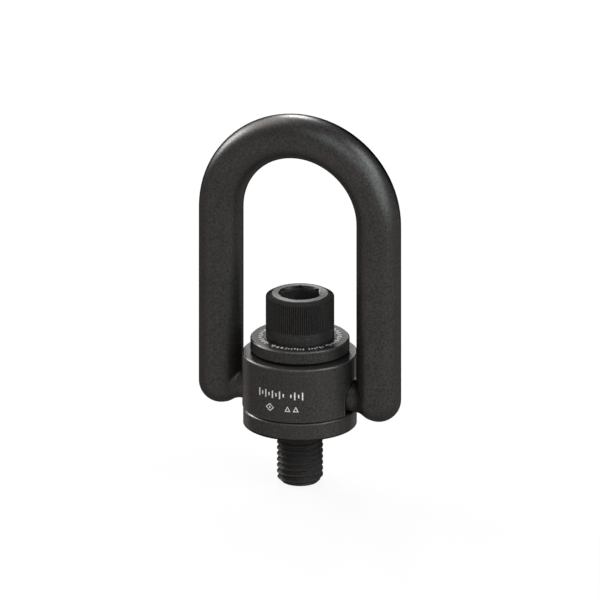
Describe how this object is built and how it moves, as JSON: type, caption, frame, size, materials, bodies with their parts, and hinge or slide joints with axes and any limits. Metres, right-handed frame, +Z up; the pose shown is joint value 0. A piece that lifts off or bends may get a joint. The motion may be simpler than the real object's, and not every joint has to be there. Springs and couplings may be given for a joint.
{
  "type": "swivel hoist ring",
  "caption": "Centre-pull swivel hoist ring: upright round-bar bail on trunnions in a turning body, held by a flanged bushing, washer and hex-socket cap screw with a threaded stud.",
  "frame": {"origin": "centre of the bushing flange's underside, the seat face that bears on the load, on the screw's axis", "axes": "+Z up along the screw's axis towards the bail, X along the bail's trunnions, Y across the bail"},
  "size_m": [0.088, 0.0476, 0.1597],
  "materials": {
    "bail_steel": "forged alloy steel, black oxide, fine satin grain",
    "body_steel": "turned alloy steel, black oxide, satin",
    "bushing_steel": "turned alloy steel, black oxide, satin",
    "washer_steel": "turned alloy steel, black oxide, satin",
    "screw_steel": "alloy steel, black oxide, oiled",
    "spring_steel": "stamped spring steel, phosphate"
  },
  "bodies": {
    "bushing": {"flanged_bushing": "bushing_steel"},
    "housing": {"body": "body_steel"},
    "bail": {"u_bar": "bail_steel"},
    "screw": {"cap_screw": "screw_steel", "retaining_ring": "spring_steel"},
    "washer": {"top_washer": "washer_steel"}
  },
  "joints": [
    {"name": "swivel", "type": "hinge", "parent": "bushing", "child": "housing", "pos_m": [0, 0, 0.02], "axis": [0, 0, 1], "continuous": true},
    {"name": "bail_pivot", "type": "hinge", "parent": "housing", "child": "bail", "pos_m": [0, 0, 0.0143], "axis": [1, 0, 0], "range_deg": [-90, 90]},
    {"name": "screw_spin", "type": "hinge", "parent": "bushing", "child": "screw", "pos_m": [0, 0, 0.02], "axis": [0, 0, 1], "continuous": true},
    {"name": "washer_spin", "type": "hinge", "parent": "screw", "child": "washer", "pos_m": [0, 0, 0.035], "axis": [0, 0, 1], "continuous": true}
  ]
}
